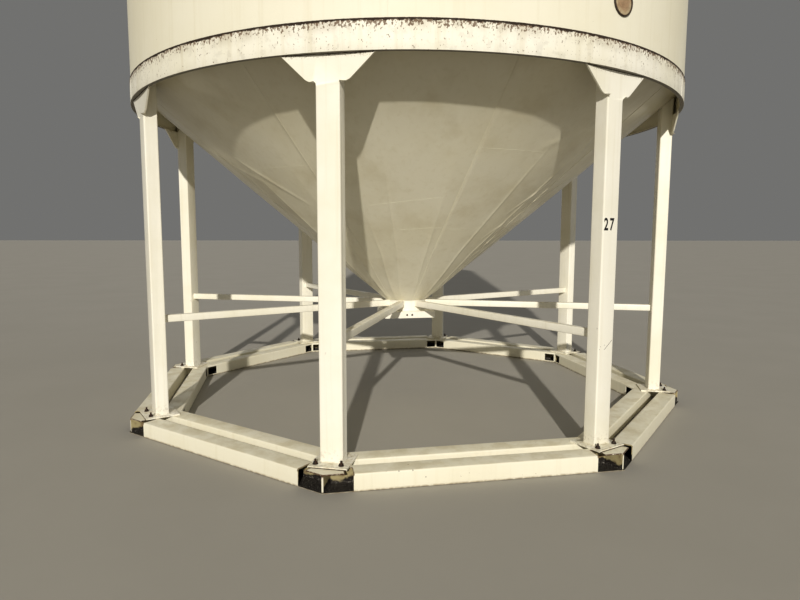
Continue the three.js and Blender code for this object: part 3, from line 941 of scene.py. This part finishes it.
def makePostTrim():
    nuts, feet, soilAndShadeLines, inserts, edges = [], [], [], [], []
    half, face, back = size["postWidth"] / 2, size["postFace"], size["postBack"]
    wide, plateTop, edgeOut = post["plateHalf"], size["plateTop"], -size["plateOuter"] + 0.001
    topHalf, topZ = post["gussetTop"]
    for turn in map(turnedTo, postAzimuths):
        for x in post["nutAside"]:
            nuts.append((turn @ Vector((x, -post["nutReach"], plateTop)), Vector((0, 0, 1))))
        foot = chamfered(-half, half, -face, -back, post["corner"])
        feet.append(([turn @ Vector((x, y, plateTop + 0.001)) for x, y in foot], True))
        for x in (-half - 0.001, half + 0.001):
            heights = between(size["gussetFoot"], size["gussetFoot"] + post["gussetWeld"], 8)
            inserts.append(([turn @ Vector((x, -face + 0.011, z)) for z in heights], False))
        across = [k / 10 * topHalf for k in range(-10, 11)]
        soilAndShadeLines.append(([turn @ Vector((x, -face - 0.001, topZ)) for x in across], False))
        across = [k / 12 * wide for k in range(-12, 13)]
        edges.append(([turn @ Vector((x, edgeOut, size["railHeight"] + 0.002)) for x in across], False))
    turn, scratches = turnedTo(postAzimuths[0]), []
    for x, z, endX, endZ in post["scratches"]:
        steps = zip(between(x, endX, 12), between(z, endZ, 12))
        scratches.append(([turn @ Vector((a, -face + 0.0014, b)) for a, b in steps], False))
    weldPiece("postScratches", scratches, boltSteel, width=0.004, step=0.003)
    # Partly soil and partly painted shade: a black bead on the rail along each foot plate's outer edge.
    weldPiece("plateEdgeSoil", edges, soilAndShade, width=0.006, step=0.006, uneven=0.004)
    nutPiece("postFootNuts", nuts, post["nut"], boltSteel)
    weldPiece("postFootWelds", feet, postEnamel, width=0.008, step=0.008)
    weldPiece("postGussetWelds", inserts, postEnamel, width=0.007, step=0.008)
    # Partly soil and partly painted shade: a black bead along each gusset's top, under the band's overhang.
    weldPiece("gussetTopSoil", soilAndShadeLines, soilAndShade, width=0.0035, step=0.006, uneven=0.004)


makePosts()
makePostTrim()
print("stage: posts made")

# Skid

skid = {
    "outer": (2.110, 1.983),
    "inner": (1.908, 1.781),
    "sheet": 0.005,
    # Nicks on the front rail's face, as x and height of both ends
    "nicks": [
        (-0.316, 0.055, -0.308, 0.055),
        (-0.384, 0.094, -0.384, 0.101),
        (-0.4605, 0.095, -0.4605, 0.101),
    ],
}


# The inside faces of a rail's hollow are bare steel, and the cut edges that face out keep their paint.
def railCopy(node, azimuth, reach):
    shape = joinedCopy(node)
    back = turnedTo(-azimuth)
    thin = skid["sheet"] * 0.8
    for part in shape.faces:
        middle, normal = back @ part.calc_center_median(), back @ part.normal
        inside = reach[1] + thin < -middle.y < reach[0] - thin and thin < middle.z < size["railHeight"] - thin
        cutEdge = -normal.y > 0.9 and -middle.y > cut["face"] - thin
        part.material_index = 1 if inside and not cutEdge else 0
    mesh = meshFrom(shape, camel(node))
    mesh.materials.append(skidEnamel)
    mesh.materials.append(rust)
    return mesh


def makeSkid():
    sides = ["front", "front_right", "right", "back_right", "back", "back_left", "left", "front_left"]
    for ring in ("outer", "inner"):
        for i, side in enumerate(sides):
            node = f"{ring}_rail_{side}"
            mesh = railCopy(node, 45 * i, skid[ring])
            newPiece(camel(node), mesh, skidEnamel, [node], 30)
    nicks, out = [], -skid["outer"][0] + 0.001
    for x, z, endX, endZ in skid["nicks"]:
        steps = zip(between(x, endX, 3), between(z, endZ, 3))
        nicks.append(([Vector((a, out, b)) for a, b in steps], False))
    weldPiece("railNicks", nicks, boltSteel, width=0.004, step=0.002)


makeSkid()
print("stage: skid made")

# Struts, neck and gate frame

strut = {"half": 0.025, "outer": 2.030, "corner": 0.005}
gateFrame = {
    "nut": (0.0065, 0.005, 0.008, 0.0015, 0.004, 0.009),
    "nutAside": (-0.028, 0.016),
    "nutZ": 0.682,
}


def makeStruts():
    dress(nodesNamed("strut_"), strutEnamel)
    half, z = strut["half"], size["strutZ"]
    section = chamfered(z - half, z + half, -half, half, strut["corner"])
    loops = []
    for turn in map(turnedTo, postAzimuths):
        for reach in (strut["outer"] - 0.001, size["neckRadius"] + 0.003):
            loops.append(([turn @ Vector((x, -reach, height)) for height, x in section], True))
    weldPiece("strutWelds", loops, strutEnamel, width=0.006, step=0.008)


def makeNeck():
    dress(["neck_collar", "gate_frame"], neckEnamel)
    heights = (size["coneTip"][1] - 0.0015, size["frameTop"] + 0.0015)
    rings = [circle(size["neckRadius"] + 0.001, z, 90) for z in heights]
    weldPiece("neckWelds", rings, neckEnamel, width=0.007, step=0.01)
    points = []
    for turn in map(turnedTo, (0, 90, 180, 270)):
        for x in gateFrame["nutAside"]:
            place = turn @ Vector((x, -size["frameHalf"], gateFrame["nutZ"]))
            points.append((place, turn @ Vector((0, -1, 0))))
    nutPiece("gateFrameNuts", points, gateFrame["nut"], boltSteel)


makeStruts()
makeNeck()
print("stage: struts and neck made")

# Roof, fill collar and lid

roof = {
    "columns": 288,
    "rows": 10,
    "gores": 12,
    "rise": 0.006,  # of the rib between two gores
    "ribWidth": 0.06,  # as a share of half a gore
    "stiff": 0.15,  # the ribs fade out this near to the eave and the collar
    "sheet": 0.004,
    "edge": 0.003,
    "lip": 0.040,
}


def roofTop(radius):
    slope = size["roofSlope"]
    rise = (size["wallRadius"] - radius) * math.tan(slope)
    return size["wallTop"] + size["gap"] + rise + roof["sheet"] / math.cos(slope)


def makeRoof():
    rim, hole = size["eaveRadius"], size["fillRadius"] + size["gap"]
    sheet, edge = roof["sheet"], roof["edge"]
    under = sheet / math.cos(size["roofSlope"])
    inside = roofTop(rim - sheet) - under
    top = [(r, roofTop(r)) for r in between(hole, rim - edge, roof["rows"])]
    below = [(rim, roofTop(rim) - edge), (rim, inside - roof["lip"]), (rim - sheet, inside - roof["lip"])]
    below += [(rim - sheet, inside), (hole, roofTop(hole) - under)]
    gore = 360 / roof["gores"]
    columns = []
    for column in range(roof["columns"]):
        azimuth = 360 * column / roof["columns"]
        off = abs((azimuth + gore / 2) % gore - gore / 2) / (gore / 2)  # 0 on a rib, 1 between ribs
        sag = roof["rise"] * (math.exp(-((off / roof["ribWidth"]) ** 2)) - 1) * 0.5
        ring = []
        for radius, z in top:
            hold = min(1, (rim - radius) / roof["stiff"], (radius - hole) / roof["stiff"])
            ring.append(around(azimuth, radius, z + sag * max(hold, 0)))
        columns.append(ring + [around(azimuth, radius, z) for radius, z in below])
    cone = meshFrom(shellOf(columns), "roofCone")
    newPiece("roofCone", cone, roofEnamel, nodesNamed("roof_"), 40)
    seams = []
    for i in range(roof["gores"]):
        path = [around(gore * i, r, roofTop(r) - 0.0035) for r in between(hole + 0.02, rim - 0.01, 30)]
        seams.append((path, False))
    seams.append(circle(size["fillRadius"] + 0.002, roofTop(size["fillRadius"]) - 0.001, 90))
    weldPiece("roofWelds", seams, roofEnamel, width=0.010)


makeRoof()
dress(["fill_collar", "fill_lid"], roofEnamel)
print("stage: roof made")

# Sight glass

# Turned about the port's own axis, which points out of the wall.
def portPiece(name, outline, material, node):
    shape = turned(outline, 64)
    stand = Matrix.Rotation(math.pi / 2, 4, "X")
    out = Matrix.Translation((0, -size["wallRadius"] - size["gap"] / 2, sight["z"]))
    shape.transform(turnedTo(sight["azimuth"]) @ out @ stand)
    newPiece(name, meshFrom(shape, name), material, [node], 40)


def makeSight():
    radius, stand, lip = sight["radius"], sight["stand"], sight["lip"]
    inside = radius - sight["bezel"]
    outline = [(inside, 0), (radius, 0), (radius, stand - lip), (radius - lip, stand)]
    outline += [(inside + lip, stand), (inside, stand - lip)]
    portPiece("sightBezel", outline, rubber, "sight_bezel")
    rim, flat, crown = inside - size["gap"], sight["pane"], sight["crown"]
    dome = [(0, 0), (rim, 0), (rim, flat)]
    for turn in (t * math.pi / 16 for t in range(1, 8)):
        dome.append((rim * math.cos(turn), flat + crown * math.sin(turn)))
    dome.append((0, flat + crown))
    portPiece("sightPane", dome, acrylic, "sight_pane")


makeSight()
print("stage: sight glass made")

# Ladder

ladder = {
    "brackets": [2.860, 4.250, 5.640, 7.030],
    "plateOut": 0.0083,  # the bracket plates' faces, out from the wall
    "nutAside": 0.045,
    "nut": (0.010, 0.008, 0.012, 0.002, 0.006, 0.015),
}


def makeLadder():
    dress(nodesNamed("ladder_"), zinc, 40)
    turn, aside, points = turnedTo(size["ladderAzimuth"]), ladder["nutAside"], []
    for z in ladder["brackets"]:
        for x in (-aside, aside):
            for rise in (-aside, aside):
                place = turn @ Vector((x, -size["wallRadius"] - ladder["plateOut"], z + rise))
                points.append((place, turn @ Vector((0, -1, 0))))
    nutPiece("ladderBracketNuts", points, ladder["nut"], zinc)


makeLadder()
print("stage: ladder made")

# Number on a post

number = {
    "text": "27",
    "height": 0.068,
    "capital": 0.70,  # a figure's height as a share of the font's size
    "weight": 0.0024,
    "spacing": 1.3,
    "narrow": 0.8,
    "azimuth": 22.5,
    "x": -0.016,
    "z": 1.419,
    "proud": 0.0004,
}


def makeNumber():
    curve = bpy.data.curves.new("binNumber", "FONT")
    curve.body = number["text"]
    curve.size = number["height"] / number["capital"]
    curve.align_x, curve.align_y = "CENTER", "CENTER"
    curve.offset = number["weight"]
    curve.space_character = number["spacing"]
    mesh = settled(bpy.data.objects.new("binNumberText", curve), "binNumber")
    upright = Matrix.Rotation(math.pi / 2, 4, "X")
    narrow = Matrix.Diagonal((number["narrow"], 1, 1, 1))
    place = Matrix.Translation((number["x"], -size["postFace"] - number["proud"], number["z"]))
    mesh.transform(turnedTo(number["azimuth"]) @ place @ upright @ narrow)
    newPiece("postNumber", mesh, stencil)


makeNumber()
print("stage: number made")

# Floor, light and camera

stage = {
    "floor": "#A9A59C",
    "floorClouds": "#9F9B92",
    "reach": 120,
    "sky": "#F1F1EE",
    "skyStrength": 0.19,
    # Azimuth, elevation, strength, spread in degrees, colour
    "lights": {
        "keyLight": (-12.6, 23, 2.70, 1.0, "#FFFBF3"),
        "fillLight": (66, 28, 0.15, 70, "#F6F8FF"),
        "backLight": (178, 34, 0.25, 60, "#FFFCF6"),
    },
    "eye": (-1.0502, -5.1655, 1.3639),
    "heading": 10.977,
    "pitch": -6.257,
    "roll": 0.154,
    "lens": 27.09,
}


def makeFloor():
    mesh = bpy.data.meshes.new("floor")
    reach = stage["reach"]
    corners = [(-reach, -reach, 0), (reach, -reach, 0), (reach, reach, 0), (-reach, reach, 0)]
    mesh.from_pydata(corners, [], [(0, 1, 2, 3)])
    clouds = {"span": 1.2, "edge": (0.3, 0.7), "strength": 0.3}
    pale = patched("paleFloor", stage["floor"], 0.8, clouds, stage["floorClouds"], None, 0.0002)
    mesh.materials.append(pale)
    floor = bpy.data.objects.new("floor", mesh)
    link(floor)


def makeLights():
    world = bpy.data.worlds.new("studio")
    world.use_nodes = True
    sky = world.node_tree.nodes["Background"]
    sky.inputs["Color"].default_value = linear(stage["sky"])
    sky.inputs["Strength"].default_value = stage["skyStrength"]
    scene.world = world
    for name, (azimuth, elevation, strength, spread, colour) in stage["lights"].items():
        data = bpy.data.lights.new(name, "SUN")
        data.angle = math.radians(spread)
        data.energy = strength
        data.color = linear(colour)[:3]
        lamp = bpy.data.objects.new(name, data)
        out = around(azimuth, 10, 10 * math.tan(math.radians(elevation)))
        lamp.location = out
        lamp.rotation_euler = (-out).to_track_quat("-Z", "Y").to_euler()
        link(lamp)


def makeCamera():
    data = bpy.data.cameras.new("camera")
    data.lens = stage["lens"]
    camera = bpy.data.objects.new("camera", data)
    turn = Matrix.Rotation(-math.radians(stage["heading"]), 4, "Z")
    tilt = Matrix.Rotation(math.radians(90 + stage["pitch"]), 4, "X")
    roll = Matrix.Rotation(math.radians(stage["roll"]), 4, "Z")
    camera.matrix_world = Matrix.Translation(stage["eye"]) @ turn @ tilt @ roll
    link(camera)
    scene.camera = camera
    scene.view_settings.view_transform = "Standard"
    scene.view_settings.look = "Medium High Contrast"


makeFloor()
makeLights()
makeCamera()
print("stage: floor, lights and camera made")
